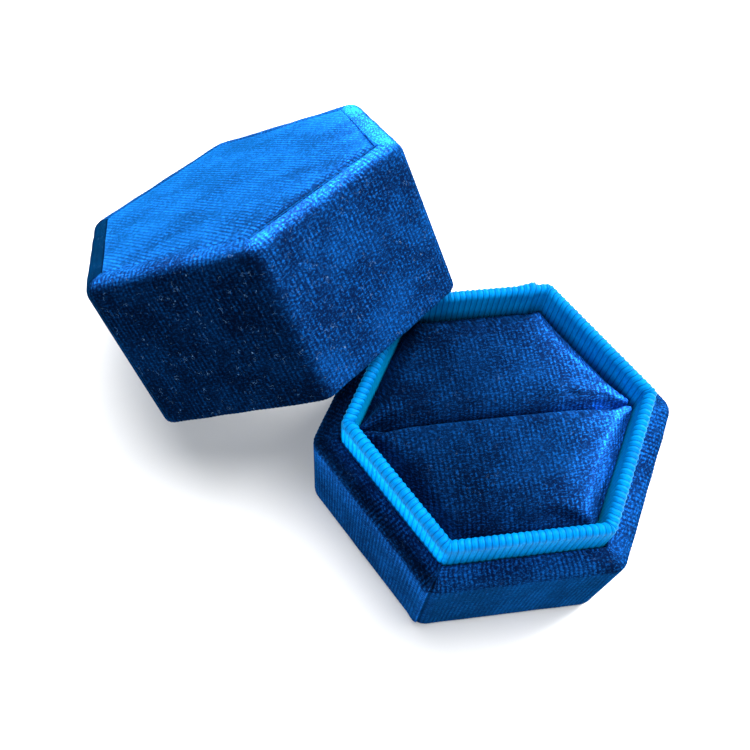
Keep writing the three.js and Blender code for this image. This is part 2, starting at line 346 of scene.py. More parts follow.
class Nodes:
    """A short way to write a material's node tree. Its places are in millimetres, so the scale of a
    noise is how many grains it has for each millimetre."""

    def __init__(self, name):
        self.material = bpy.data.materials.new(name)
        self.material.use_nodes = True
        self.tree = self.material.node_tree
        self.tree.nodes.clear()
        output = self.tree.nodes.new("ShaderNodeOutputMaterial")
        self.shader = self.tree.nodes.new("ShaderNodeBsdfPrincipled")
        self.link(self.shader.outputs["BSDF"], output.inputs["Surface"])

    def add(self, kind, **settings):
        node = self.tree.nodes.new(kind)
        for key, value in settings.items():
            setattr(node, key, value)
        return node

    def link(self, source, target):
        self.tree.links.new(source, target)

    def put(self, target, value):
        if isinstance(value, bpy.types.NodeSocket):
            self.link(value, target)
        else:
            target.default_value = value

    def math(self, operation, first, second=0.0):
        node = self.add("ShaderNodeMath", operation=operation)
        self.put(node.inputs[0], first)
        self.put(node.inputs[1], second)
        return node.outputs[0]

    def scaled(self, vector, scale):
        node = self.add("ShaderNodeVectorMath", operation="MULTIPLY")
        self.put(node.inputs[0], vector)
        node.inputs[1].default_value = scale
        return node.outputs[0]

    def noise(self, vector, scale, detail=2.0, roughness=0.5):
        node = self.add("ShaderNodeTexNoise")
        self.put(node.inputs["Vector"], vector)
        node.inputs["Scale"].default_value = scale
        node.inputs["Detail"].default_value = detail
        node.inputs["Roughness"].default_value = roughness
        return node.outputs["Fac"]

    def ramp(self, value, low, high, to_low=0.0, to_high=1.0):
        node = self.add("ShaderNodeMapRange", interpolation_type="SMOOTHSTEP")
        self.put(node.inputs["Value"], value)
        node.inputs["From Min"].default_value = low
        node.inputs["From Max"].default_value = high
        node.inputs["To Min"].default_value = to_low
        node.inputs["To Max"].default_value = to_high
        return node.outputs["Result"]

    def mix(self, share, first, second):
        node = self.add("ShaderNodeMix", data_type="RGBA")
        self.put(node.inputs["Factor"], share)
        colours = [socket for socket in node.inputs if socket.type == "RGBA"]
        self.put(colours[0], first)
        self.put(colours[1], second)
        return next(socket for socket in node.outputs if socket.type == "RGBA")

    def bump(self, height, distance, strength=1.0):
        node = self.add("ShaderNodeBump")
        node.inputs["Distance"].default_value = distance
        node.inputs["Strength"].default_value = strength
        self.put(node.inputs["Height"], height)
        return node.outputs["Normal"]

    def streaks(self, cloth, across, along, detail, roughness=0.5):
        """Noise with its own scale across the cloth's ribs and along them."""
        return self.noise(self.scaled(cloth, (across, along, 1.0)), 1.0, detail, roughness)

    def total(self, *shares):
        """The sum of some values, each times its share."""
        parts = [self.math("MULTIPLY", value, share) for value, share in shares]
        result = parts[0]
        for part in parts[1:]:
            result = self.math("ADD", result, part)
        return result

    def object_place(self):
        """Places on the piece, in millimetres."""
        return self.scaled(self.add("ShaderNodeTexCoord").outputs["Object"], (1 / MM,) * 3)

    def cloth_place(self):
        """Places across and along the cloth's ribs, in millimetres."""
        return self.add("ShaderNodeUVMap", uv_map="cloth").outputs["UV"]

    def across(self, cloth):
        parts = self.add("ShaderNodeSeparateXYZ")
        self.link(cloth, parts.inputs[0])
        return parts.outputs["X"]

    def with_painted_light(self, shade):
        """A colour made lighter or darker by the painted_light attribute: painted light and shade."""
        painted_light = self.add("ShaderNodeAttribute", attribute_name="painted_light").outputs["Fac"]
        turned = self.add("ShaderNodeVectorMath", operation="SCALE")
        self.link(shade, turned.inputs[0])
        self.link(self.math("EXPONENT", painted_light), turned.inputs["Scale"])
        return turned.outputs[0]

    def set(self, **values):
        for key, value in values.items():
            self.put(self.shader.inputs[key.replace("_", " ")], value)


def colour(red, green, blue):
    return (red, green, blue, 1.0)


# ---- materials ----


def velvet(name, rib_share, sheen, lint):
    """Knitted stretch velvet: a short pile in soft ribs, with lighter and darker patches at random and
    a few pale fibres of lint on it. Its colour also has painted sheen on the ribs' crests, painted
    shade between them, painted glints, and the painted light and shade of the painted_light attribute."""
    n = Nodes(name)
    cloth = n.cloth_place()
    place = n.object_place()
    turns = n.math("DIVIDE", n.across(cloth), VELVET_PITCH)
    sway = n.streaks(cloth, 0.9, 0.22, detail=2.0, roughness=0.6)
    phase = n.total((turns, 1.0), (sway, 0.3))
    crest = n.ramp(n.math("COSINE", n.math("MULTIPLY", phase, 2 * math.pi)), -0.9, 0.9)
    worn = n.ramp(n.noise(place, 0.3), 0.36, 0.62, 0.25, 1.0)
    rib = n.math("MULTIPLY", n.math("MULTIPLY", crest, worn), rib_share)
    tufts = n.streaks(cloth, 1.6, 2.9, detail=1.0, roughness=0.6)
    pile = n.noise(place, 5.0, roughness=0.7)
    patches = n.noise(place, 0.13, detail=3.0, roughness=0.55)
    tips = n.total((tufts, 0.5), (pile, 0.5))
    height = n.total((rib, 0.7), (tips, 1.1))
    # the tone is lighter on the ribs' crests and darker between them: painted sheen and painted shade; the
    # tips and patches are tone at random
    on_ribs = n.math("ADD", n.math("MULTIPLY", rib, 0.6), 0.5)
    lit_tips = n.math("MULTIPLY", n.ramp(tips, 0.45, 0.66), on_ribs)
    tone = n.total((lit_tips, 0.85), (rib, 0.2), (n.ramp(patches, 0.3, 0.7), 0.22))
    base = n.mix(n.ramp(tone, 0.0, 1.0), DEEP_BLUE, ROYAL_BLUE)
    # painted glints: bright specks of painted highlight on the pile
    painted_glints = n.ramp(n.noise(place, 3.4, detail=1.0), 0.7, 0.78, 0.0, 0.3)
    base = n.mix(painted_glints, base, PAINTED_GLINT_BLUE)
    curls = n.math("ABSOLUTE", n.math("SUBTRACT", n.noise(place, 1.3, detail=1.0), 0.5))
    strewn = n.ramp(n.noise(place, 0.9, detail=1.0), 0.61, 0.66, 0.0, lint)
    fibres = n.math("MULTIPLY", n.ramp(curls, 0.003, 0.009, 1.0, 0.0), strewn)
    n.set(
        Base_Color=n.mix(fibres, n.with_painted_light(base), LINT_GREY),
        Roughness=n.ramp(patches, 0.3, 0.7, 0.95, 0.75),
        Specular_IOR_Level=0.0,
        Sheen_Weight=sheen,
        Sheen_Roughness=0.32,
        Sheen_Tint=SKY_SHEEN,
        Normal=n.bump(height, 0.07 * MM),
    )
    return n.material


def grosgrain(name):
    """Satin ribbon whose fine threads run along its ribs, with painted shade in the grooves between the
    ribs.
    """
    n = Nodes(name)
    cloth = n.cloth_place()
    threads = n.streaks(cloth, 9.0, 0.7, detail=2.0, roughness=0.6)
    weft = n.streaks(cloth, 1.0, 9.0, detail=1.0)
    patches = n.noise(n.object_place(), 0.25)
    tone = n.total((threads, 0.7), (patches, 0.4))
    base = n.mix(n.ramp(tone, 0.35, 0.8), RIBBON_SHADE, RIBBON_LIGHT)
    # the grooves between the ribs are darker: painted shade
    turn = n.math("MULTIPLY", n.across(cloth), math.pi / RIBBON_PITCH)
    groove_shade = n.ramp(n.math("ABSOLUTE", n.math("SINE", turn)), 0.0, 0.5, 0.75, 0.0)
    n.set(
        Base_Color=n.with_painted_light(n.mix(groove_shade, base, RIBBON_GROOVE_SHADE)),
        Roughness=n.ramp(threads, 0.3, 0.7, 0.6, 0.45),
        Specular_IOR_Level=0.08,
        Specular_Tint=SATIN_TINT,
        Sheen_Weight=0.35,
        Sheen_Roughness=0.4,
        Sheen_Tint=RIBBON_SHEEN,
        Normal=n.bump(n.total((threads, 0.7), (weft, 0.3)), 0.035 * MM, 0.8),
    )
    return n.material


def pulp(name, shade, light, fibre_scale, roughness, bump_distance):
    """Pressed board, card or felt: short fibres in every direction, with darker and lighter flecks."""
    n = Nodes(name)
    place = n.object_place()
    flecks = n.noise(place, fibre_scale, detail=4.0, roughness=0.7)
    clouds = n.noise(place, 0.12)
    tone = n.total((flecks, 0.7), (clouds, 0.3))
    n.set(
        Base_Color=n.mix(n.ramp(tone, 0.35, 0.65), shade, light),
        Roughness=n.ramp(flecks, 0.3, 0.7, roughness, roughness + 0.08),
        Specular_IOR_Level=0.25,
        Normal=n.bump(flecks, bump_distance * MM, 0.8),
    )
    return n.material


def foam(name):
    """Open-celled foam, darker in the middles of its cells: painted shade in the pores."""
    n = Nodes(name)
    place = n.object_place()
    cells = n.add("ShaderNodeTexVoronoi", feature="F1")
    n.put(cells.inputs["Vector"], place)
    cells.inputs["Scale"].default_value = 2.4
    wall = n.ramp(cells.outputs["Distance"], 0.1, 0.6)
    n.set(
        Base_Color=n.mix(wall, FOAM_PORE_SHADE, FOAM_WALL),
        Roughness=n.ramp(wall, 0.0, 1.0, 0.95, 0.85),
        Specular_IOR_Level=0.2,
        Normal=n.bump(wall, 0.15 * MM, 0.7),
    )
    return n.material


DEEP_BLUE = colour(0.0012, 0.0065, 0.032)
ROYAL_BLUE = colour(0.004, 0.078, 0.32)
# the colour of the painted glints
PAINTED_GLINT_BLUE = colour(0.008, 0.15, 0.48)
LINT_GREY = colour(0.09, 0.18, 0.34)
SKY_SHEEN = colour(0.008, 0.32, 1.0)
RIBBON_SHADE = colour(0.0, 0.12, 0.40)
RIBBON_LIGHT = colour(0.0, 0.24, 0.62)
# the painted shade in the ribbon's grooves
RIBBON_GROOVE_SHADE = colour(0.0, 0.03, 0.13)
RIBBON_SHEEN = colour(0.0, 0.6, 1.0)
SATIN_TINT = colour(0.1, 0.7, 1.0)
BOARD_SHADE = colour(0.20, 0.185, 0.16)
BOARD_LIGHT = colour(0.40, 0.37, 0.33)
CARD_SHADE = colour(0.62, 0.6, 0.55)
CARD_LIGHT = colour(0.8, 0.78, 0.72)
FELT_SHADE = colour(0.004, 0.005, 0.008)
FELT_LIGHT = colour(0.025, 0.027, 0.034)
# painted shade in the foam's pores
FOAM_PORE_SHADE = colour(0.62, 0.6, 0.52)
FOAM_WALL = colour(0.86, 0.84, 0.77)

BASE_VELVET = velvet("base_velvet", rib_share=1.0, sheen=0.26, lint=0.2)
PAD_VELVET = velvet("pad_velvet", rib_share=0.7, sheen=0.1, lint=0.2)
LID_VELVET = velvet("lid_velvet", rib_share=0.7, sheen=0.26, lint=1.0)
TOP_VELVET = velvet("top_velvet", rib_share=0.9, sheen=0.7, lint=0.2)
LINING_BLUE = velvet("lining", rib_share=0.5, sheen=0.5, lint=0.0)
RIBBON_BLUE = grosgrain("ribbon")
GREY_BOARD = pulp("greyboard", BOARD_SHADE, BOARD_LIGHT, fibre_scale=2.2, roughness=0.86, bump_distance=0.05)
WHITE_CARD = pulp("white_card", CARD_SHADE, CARD_LIGHT, fibre_scale=3.0, roughness=0.78, bump_distance=0.02)
BLACK_FELT = pulp("felt", FELT_SHADE, FELT_LIGHT, fibre_scale=3.4, roughness=0.9, bump_distance=0.12)
WHITE_FOAM = foam("foam")


# ---- the base ----

RIPPLE_WAVES = (7, 13, 22, 31)  # how many go round the hexagon
RIPPLE_DRIFT = 0.02  # how far the waves move on from each row of the mesh to the next


def ripple(along, index, seed, size):
    """Slow unevenness of glued cloth, as a sum of a few waves that close up round the hexagon."""
    random = np.random.default_rng(seed)
    total = np.zeros(len(along))
    for waves in RIPPLE_WAVES:
        phase, drift = random.uniform(0, 2 * math.pi, 2)
        turn = 2 * math.pi * waves * along / VELVET_OUTLINE.length
        total += np.sin(turn + phase + drift * RIPPLE_DRIFT * index)
    return total * size / len(RIPPLE_WAVES)


def ribs(along):
    """Height of the velvet's ribs on a wall."""
    return VELVET_RIB_HEIGHT * (np.cos(2 * math.pi * along / VELVET_PITCH) - 1) / 2


def towards(facing, angle, sharpness):
    """1 on the side of the hexagon that faces angle, in degrees, and falling off beside it."""
    return np.maximum(np.cos(facing - math.radians(angle)), 0) ** sharpness


def seam_height(along, edge):
    """How far the velvet's overlapped end stands out: it swells, and ends sharply at edge."""
    before = edge - along
    swell = np.clip(1 - before / SEAM_LAP, 0, 1)
    return np.where(before >= 0, SEAM_HEIGHT * swell * swell * (3 - 2 * swell), 0.0)


LEDGE_TURN_IN = 7.8  # down inside the wall
LEDGE_DIP = 0.12
LEDGE_DIP_INWARD = 0.4  # the dip lies this much nearer the neck than the ledge's middle
SEAM_CORNER = 4  # the velvet strip's ends meet at this upright corner
SEAM_OFFSET = 1.3
SEAM_LAP = 2.6
SEAM_HEIGHT = 0.45
HEM_FADE = 1.5  # the seam and ripples grow over this height above the hem

# Painted light and shade on the base's velvet. Directions are in degrees from +X
FRONT_LEFT = 210
LEFT = 200
LEDGE_LIGHTEST = -11.46
LEDGE_PAINTED_LIGHT = 0.05
LEDGE_SWING = 0.8  # from the ledge's middle to its lightest or darkest side
BAND_WIDTH = 2.6  # the ledge's outer band has painted shade
BAND_FADE = 1.2
BAND_SHADE = 0.4
BAND_LEFT_SHADE = 0.8
# painted shade on the walls, and painted light on the front left wall that grows towards its top
WALL_SHADE = 0.4
FRONT_LEFT_PAINTED_LIGHT = 0.45
FRONT_LEFT_TOP_PAINTED_LIGHT = 0.7
TOP_START = 8.0  # that wall's painted light grows from so far under the ledge
TOP_FADE = 6.0
# a painted shadow just past the seam's edge and a painted highlight just before it
SEAM_SHADE = 1.5
SEAM_LIGHT = 0.8
SEAM_LINE = 0.4


def make_base_velvet():
    wrap = layer("base_velvet_wrap", "base")
    boards = layer("base_wall_panel_1", "base")
    inside = NECK_OUTER + GLUE_GAP
    board_back = WALL_INNER - GLUE_GAP
    board_face = WALL_OUTER + GLUE_GAP
    low_in = wrap.inner
    turn_in_low = wrap.high - LEDGE_TURN_IN
    outside = [
        (low_in, wrap.low),
        *arc(OUTER - VELVET, wrap.low + VELVET, VELVET, -1, 0, 6),
        *arc(OUTER - LEDGE_ROUND, wrap.high - LEDGE_ROUND, LEDGE_ROUND, 0, 1, 9),
        ((OUTER + inside) / 2 - LEDGE_DIP_INWARD, wrap.high - LEDGE_DIP),
        *arc(inside + HEM_ROUND, wrap.high - HEM_ROUND, HEM_ROUND, 1, 2, 4),
        (inside, turn_in_low),
    ]
    backing = [
        (board_back, turn_in_low),
        (board_back, boards.high + GLUE_GAP),
        (board_face, boards.high + GLUE_GAP),
        (board_face, boards.low - GLUE_GAP),
        (low_in, boards.low - GLUE_GAP),
        (low_in, wrap.low),
    ]
    shown = refined(outside, ROW_SPACING)
    section = shown + refined([shown[-1]] + backing, BACKING_SPACING)[1:]
    still_rows = 5  # the last rows are glued down inside the wall
    edge = VELVET_OUTLINE.length * SEAM_CORNER / SIDES + SEAM_OFFSET

    def push(along, index):
        if index >= len(shown) - still_rows:
            return 0.0
        above_hem = np.clip((shown[index][1] - wrap.low) / HEM_FADE, 0, 1)
        uneven = ripple(along, index, 11, VELVET_UNEVENNESS)
        return above_hem * (uneven + ribs(along) + seam_height(along, edge))

    # painted light and shade: the ledge lighter at the right and darker at the left, a shaded outer band,
    # shaded walls with a lit front left wall, and a painted shadow and highlight at the seam
    def painted_light(facing, reach, level):
        ledge = np.clip((level - wrap.high + LEDGE_ROUND) / LEDGE_ROUND, 0, 1)
        outer_band = np.clip((reach - OUTER + BAND_WIDTH) / BAND_FADE, 0, 1)
        band_shade = outer_band * (BAND_SHADE + BAND_LEFT_SHADE * towards(facing, LEFT, 2))
        swing = LEDGE_SWING * np.cos(facing - math.radians(LEDGE_LIGHTEST))
        on_ledge = LEDGE_PAINTED_LIGHT + swing - band_shade
        to_top = np.clip((level - wrap.high + TOP_START) / TOP_FADE, 0, 1)
        lighter = FRONT_LEFT_PAINTED_LIGHT + FRONT_LEFT_TOP_PAINTED_LIGHT * to_top
        on_wall = towards(facing, FRONT_LEFT, 4) * lighter - WALL_SHADE
        past_seam = VELVET_OUTLINE.along - edge
        seam_painted_shade = np.where(past_seam > 0, -SEAM_SHADE, SEAM_LIGHT) * np.exp(-((past_seam / SEAM_LINE) ** 2))
        return ledge * on_ledge + (1 - ledge) * on_wall + seam_painted_shade

    piece = sweep("base_velvet", section, VELVET_OUTLINE, "base", BASE_VELVET, push, painted_light)
    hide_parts("base_velvet_wrap")


RIBBON_END = 9.6  # the lapped end, from the middle of the rear side towards +X
RIBBON_LAP_FADE = 3.0
RIBBON_LAP_HEIGHT = 1.2 * RIBBON
RIBBON_SPLIT = 0.35  # a finer line along the flanks of each ridge
RIDGE_FULLNESS = 0.8
# painted light on the ribbon's front left outer face
RIBBON_PAINTED_LIGHT = 1.0


def make_ribbon():
    """The ribbon over the neck, with its woven ribs as real ridges and its ends lapped at the rear."""
    ribbon = layer("neck_ribbon", "base")
    half = (ribbon.outer - ribbon.inner) / 2
    middle = (ribbon.outer + ribbon.inner) / 2
    crest = ribbon.high - half
    outside = [
        (ribbon.outer, ribbon.low),
        *arc(middle, crest, half, 0, 2, 22),
        (ribbon.inner, ribbon.low),
    ]
    backing = [
        (ribbon.inner + RIBBON, ribbon.low),
        *arc(middle, crest, half - RIBBON, 2, 0, 10),
        (ribbon.outer - RIBBON, ribbon.low),
        (ribbon.outer, ribbon.low),
    ]
    shown = refined(outside, ROW_SPACING)
    section = shown + backing
    middle_of_rear = RIBBON_OUTLINE.length * 1.5 / SIDES + NECK_CORNER_ROUND * SIDE_ANGLE / 2
    edge = middle_of_rear - RIBBON_END

    def push(along, index):
        if index == 0 or index >= len(shown) - 1:
            return 0.0
        turn = 2 * math.pi * along / RIBBON_PITCH
        ridge = np.abs(np.sin(turn / 2)) ** RIDGE_FULLNESS
        split = RIBBON_SPLIT * np.abs(np.sin(turn))
        end = edge - along
        lapped = np.where(end < 0, np.clip(1 + end / RIBBON_LAP_FADE, 0, 1), 0.0)
        return RIBBON_RIB_HEIGHT * (ridge - split - 1) + RIBBON_LAP_HEIGHT * lapped

    # painted light on the ribbon's front left outer face
    def painted_light(facing, reach, level):
        outside_face = np.clip((crest - level) / half, 0, 1) if reach > middle else 0.0
        return RIBBON_PAINTED_LIGHT * towards(facing, FRONT_LEFT, 4) * outside_face

    piece = sweep("ribbed_ribbon", section, RIBBON_OUTLINE, "base", RIBBON_BLUE, push, painted_light)
    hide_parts("neck_ribbon")


def make_felt():
    """The felt sheet that covers the velvet's raw edges under the base."""
    felt = layer("base_underside_felt", "base")
    edge_round = (felt.high - felt.low) / 2
    rings = 8
    straight = felt.outer - edge_round
    profile = [(straight * ring / rings, felt.low) for ring in range(rings)]
    profile += arc(straight, felt.low + edge_round, edge_round, -1, 1, 8)
    profile += [(straight * 0.5, felt.high), (0, felt.high)]
    piece = plate("underside_felt", profile, PLATE_OUTLINE, "base", BLACK_FELT)
    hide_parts("base_underside_felt")


make_base_velvet()
make_ribbon()
make_felt()


# ---- padded insert ----

SIMULATION_SCALE = 10  # Blender's cloth is steadier on a bigger pad
PAD_NECK_ROUND = 1.1
PAD_SLOT_ROUND = 0.6
PAD_ROUND_STEPS = 6
PAD_EDGE_STEPS = 12
PAD_DOME = 1.7  # a pad's top falls by this much towards the neck
PAD_DOME_WIDTH = 10.0
REAR_PAD_DROP = 0.5
FRONT_LIP = 0.65  # the pads' edges stand up along the slot
REAR_LIP = 0.5
LIP_WIDTH = 1.6
PAD_TOP_DEPTH = 6.0  # what shapes a pad's top starts at this depth
PAD_TOP_FADE = 5.0  # and grows over this height
PAD_HELD_DEPTH = 4.5  # below this much from its top, a pad is gripped by the neck
PAD_VOXEL = 0.62
PAD_SWELL = 0.8
PAD_PRESSURE = 4.0
PAD_FRAMES = 20
PAD_SIDE_SPARE = 0.05
PAD_TOP_SPARE = 0.2
SLOT_HALF = 0.08

FOLD_END = 21.6  # the folds fan out from here, near the slot's ends
FOLD_BACK = 0.5
FOLD_HEIGHT = 0.32
FOLD_LENGTH = 7.5
FOLD_START = 3.0
FOLDS = 9  # in a full turn round the slot's end
WAVES = 5
WAVE_HEIGHT = 0.05
WAVE_RANGE = (0.25, 0.6)  # radians for each millimetre

# Painted light and shade on the pads
PAD_SHADE = -0.5
PAD_DARKEST = -0.95
PAD_SLOPE_PAINTED_LIGHT = 4.6  # how strongly the painted light follows the slope of a pad
PAD_STEEPEST = 0.4  # the slope beyond which it grows no lighter or darker
PAD_PAINTED_LIGHT_DRIFT = 0.046  # how much more painted light for each millimetre along the slot
# painted light along the slot, over the pads' shaded sides there
SLOT_PAINTED_LIGHT = 0.7
SLOT_PAINTED_LIGHT_WIDTH = 1.5
RIGHT_PAINTED_LIGHT = 0.5  # painted light on the pads' right ends, past RIGHT_START
RIGHT_START = 8.0
RIGHT_FADE = 8.0


def half_hexagon(reach, gap):
    """The corners of the front half of a hexagon, anticlockwise, back to the first one."""
    corner = reach / math.cos(SIDE_ANGLE / 2)
    end = corner - gap / math.tan(SIDE_ANGLE)
    return [(-end, -gap), (-corner / 2, -reach), (corner / 2, -reach), (end, -gap), (-end, -gap)]


def pad_block(low, high, reach):
    """Places and faces of the block that the cloth is blown up from."""
    loops = []
    levels = [(low, 0.0), ((low + high - PAD_NECK_ROUND) / 2, 0.0)]
    levels += [
        (high - PAD_NECK_ROUND * (1 - math.sin(a)), 1 - math.cos(a))
        for a in np.linspace(0, math.pi / 2, PAD_ROUND_STEPS + 1)
    ]
    for level, turned in levels:
        bends = half_hexagon(reach - PAD_NECK_ROUND * turned, SLOT_HALF + PAD_SLOT_ROUND * turned)
        for (x0, y0), (x1, y1) in zip(bends, bends[1:]):
            for step in range(PAD_EDGE_STEPS):
                share = step / PAD_EDGE_STEPS
                loops.append((x0 + (x1 - x0) * share, y0 + (y1 - y0) * share, level))
    count = 4 * PAD_EDGE_STEPS
    places = np.array(loops)
    faces = []
    for ring in range(len(levels) - 1):
        for index in range(count):
            after = (index + 1) % count
            a, b = ring * count, (ring + 1) * count
            faces.append((a + index, a + after, b + after, b + index))
    faces.append(tuple(reversed(range(count))))
    faces.append(tuple((len(levels) - 1) * count + index for index in range(count)))
    return places, faces


def mesh_places(mesh):
    places = np.zeros(len(mesh.vertices) * 3)
    mesh.vertices.foreach_get("co", places)
    return places.reshape(-1, 3)


def evaluated_mesh(piece):
    graph = bpy.context.evaluated_depsgraph_get()
    return bpy.data.meshes.new_from_object(piece.evaluated_get(graph))


def blown_up(name, places, faces):
    """The block remeshed and swelled by Blender's cloth, as places and faces in millimetres."""
    scale = SIMULATION_SCALE * MM
    mesh = bpy.data.meshes.new(name + "_block")
    mesh.from_pydata((places * scale).tolist(), [], faces)
    block = bpy.data.objects.new(name + "_block", mesh)
    bpy.context.scene.collection.objects.link(block)
    remesh = block.modifiers.new("remesh", "REMESH")
    remesh.mode = "VOXEL"
    remesh.voxel_size = PAD_VOXEL * scale
    bpy.context.view_layer.update()
    block.data = evaluated_mesh(block)
    block.modifiers.clear()
    before = mesh_places(block.data)
    held = block.vertex_groups.new(name="held")
    gripped = np.nonzero(before[:, 2] < before[:, 2].max() - PAD_HELD_DEPTH * scale)[0]
    held.add(gripped.tolist(), 1.0, "REPLACE")
    cloth = block.modifiers.new("cloth", "CLOTH")
    cloth.settings.vertex_group_mass = "held"
    cloth.settings.quality = 5
    cloth.settings.mass = 0.3
    cloth.settings.use_pressure = True
    cloth.settings.uniform_pressure_force = PAD_PRESSURE
    cloth.settings.effector_weights.gravity = 0
    cloth.collision_settings.use_collision = False
    for moment in range(1, PAD_FRAMES + 1):
        bpy.context.scene.frame_set(moment)
    block.data = evaluated_mesh(block)
    block.modifiers.clear()
    bpy.context.scene.frame_set(1)
    after = mesh_places(block.data)
    move = after - before
    length = np.linalg.norm(move, axis=1, keepdims=True)
    move *= np.minimum(1, PAD_SWELL * scale / np.maximum(length, TINY))
    faces = [tuple(polygon.vertices) for polygon in block.data.polygons]
    result = (before + move) / scale
    bpy.data.objects.remove(block)
    return result, faces


def inside_neck(places, reach, low, high):
    """The same places held inside the neck and clear of the slot's middle."""
    for normal in SIDE_NORMALS.T:
        over = np.maximum(places[:, :2] @ normal - reach, 0)
        places[:, :2] -= over[:, None] * normal
    places[:, 1] = np.minimum(places[:, 1], -SLOT_HALF)
    places[:, 2] = np.clip(places[:, 2], low, high)
    return places


def fold_height(places, seed):
    """Soft folds of the velvet over a pad: they fan out from the slot's ends, in millimetres."""
    random = np.random.default_rng(seed)
    total = np.zeros(len(places))
    for end in (-1, 1):
        x = places[:, 0] - end * FOLD_END
        y = places[:, 1] + FOLD_BACK
        distance = np.hypot(x, y)
        angle = np.arctan2(y, -end * x)
        phase = random.uniform(0, 2 * math.pi)
        height = FOLD_HEIGHT * np.exp(-distance / FOLD_LENGTH) * np.clip(distance / FOLD_START, 0, 1)
        total += height * np.sin(FOLDS * angle + phase)
    for _ in range(WAVES):
        heading, phase = random.uniform(0, 2 * math.pi, 2)
        wave = random.uniform(*WAVE_RANGE)
        across = places[:, 0] * math.cos(heading) + places[:, 1] * math.sin(heading)
        total += WAVE_HEIGHT * np.sin(wave * across + phase)
    return total


def smooth_normals(places, faces):
    """The outward direction at every place of a closed mesh."""
    corners = np.array(faces)
    across = places[corners[:, 2]] - places[corners[:, 0]]
    facing = np.cross(across, places[corners[:, 3]] - places[corners[:, 1]])
    normals = np.zeros_like(places)
    for corner in range(4):
        np.add.at(normals, corners[:, corner], facing)
    return normals / np.maximum(np.linalg.norm(normals, axis=1), TINY)[:, None]


def pad_painted_light(to_slot, along_slot, facing):
    """Painted light and shade on a pad: it follows the slope, and is lighter by the slot and at the
    right. along_slot and facing are as the pad lies in the box."""
    slope = np.clip(facing[:, 0], -PAD_STEEPEST, PAD_STEEPEST) * np.maximum(facing[:, 2], 0) ** 2
    painted_light = PAD_SHADE + PAD_SLOPE_PAINTED_LIGHT * slope + PAD_PAINTED_LIGHT_DRIFT * along_slot
    at_slot = SLOT_PAINTED_LIGHT * np.exp(-((to_slot / SLOT_PAINTED_LIGHT_WIDTH) ** 2))
    at_right = RIGHT_PAINTED_LIGHT * np.clip((along_slot - RIGHT_START) / RIGHT_FADE, 0, 1)
    return np.maximum(painted_light, PAD_DARKEST) + at_slot + at_right


def make_pad(place, turn, drop, lip, seed):
    """One padded block, velvet over foam. It is made as the front one and turned by turn."""
    pad = layer(place + "_pad_cover", "base")
    places, faces = pad_block(pad.low, pad.high - PAD_SWELL * 0.5, pad.outer)
    places, faces = blown_up(place, places, faces)
    top = np.clip((places[:, 2] - pad.high + PAD_TOP_DEPTH) / PAD_TOP_FADE, 0, 1)
    to_neck = np.clip((pad.outer - soft_reach_of(places)) / PAD_DOME_WIDTH, 0, 1)
    at_slot = lip * np.exp(-((places[:, 1] / LIP_WIDTH) ** 2))
    fall = drop + PAD_DOME * (1 - to_neck) ** 2
    places[:, 2] += (fold_height(places, seed) + at_slot - fall) * top
    places = inside_neck(places, pad.outer + PAD_SIDE_SPARE, pad.low, pad.high + PAD_TOP_SPARE)
    normals = smooth_normals(places, faces)
    core = places - normals * (TURNED_VELVET + GLUE_GAP)
    spin = np.array(Matrix.Rotation(turn, 3, "Z"))
    painted_light = pad_painted_light(places[:, 1], (places @ spin.T)[:, 0], normals @ spin.T)
    for name, stuff, surface, slot, fill, stands_for in (
        (place + "_pad", places, PAD_VELVET, "velvet", 0.7, place + "_pad_cover"),
        (place + "_foam_core", core, WHITE_FOAM, "foam", 0.8, place + "_foam"),
    ):
        turned = stuff @ spin.T
        flat = np.stack([turned[:, 0], turned[:, 1] + turned[:, 2]], axis=1)
        cloth = np.concatenate([flat[list(face)] for face in faces])
        piece = make_mesh(name, turned, faces, cloth, "base", surface, painted_light)
        if stuff is places:
            smooth = piece.modifiers.new("smooth", "SUBSURF")
            smooth.levels = smooth.render_levels = 1
        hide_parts(stands_for)


make_pad("front", 0.0, 0.0, FRONT_LIP, 3)
make_pad("rear", math.pi, REAR_PAD_DROP, REAR_LIP, 8)


# ---- the lid ----

RIM_TURN_IN = 5.0  # the velvet's height inside the rim
TOP_GRAIN = SIDE_ANGLE / 2  # the top's ribs run square to the side that faces the base
TOP_CROWN = 0.3
TOP_CROWN_FULLNESS = 0.6
TOP_CROWN_RINGS = 26
TOP_UNEVENNESS = 0.06
CREASE_ROUND = 0.12
CREASE_SIDE = 218  # where the crease between wall and top is deepest, in degrees from the lid's +X
CREASE_SHARPNESS = 3
CREASE_DEPTH = 0.5
CREASE_WIDTH = 0.6
CREASE_SHOULDER = 0.4
PANEL_SPREAD = 0.06  # the pile closes most of the gap round the top's velvet
LINING_UNEVENNESS = 0.06
PADDING_CROWN = 0.9
PADDING_FULLNESS = 0.7
PADDING_CROWN_WIDTH = 0.93  # of the padding's own
PADDING_ROUND = 0.7
PADDING_RINGS = 18

# Painted light and shade on the lid: (direction in degrees from the lid's +X, sharpness, how much
# lighter) and, on the top, the width of the painted band of light or shade along that edge
EDGE_PAINTED_LIGHT = 0.6
EDGE_PAINTED_LIGHTS = ((215, 2, 1.2), (275, 2, 1.4), (150, 6, 0.5), (92, 4, -2.2))
WALL_PAINTED_LIGHTS = ((210, 4, 0.3), (140, 2, -1.25))
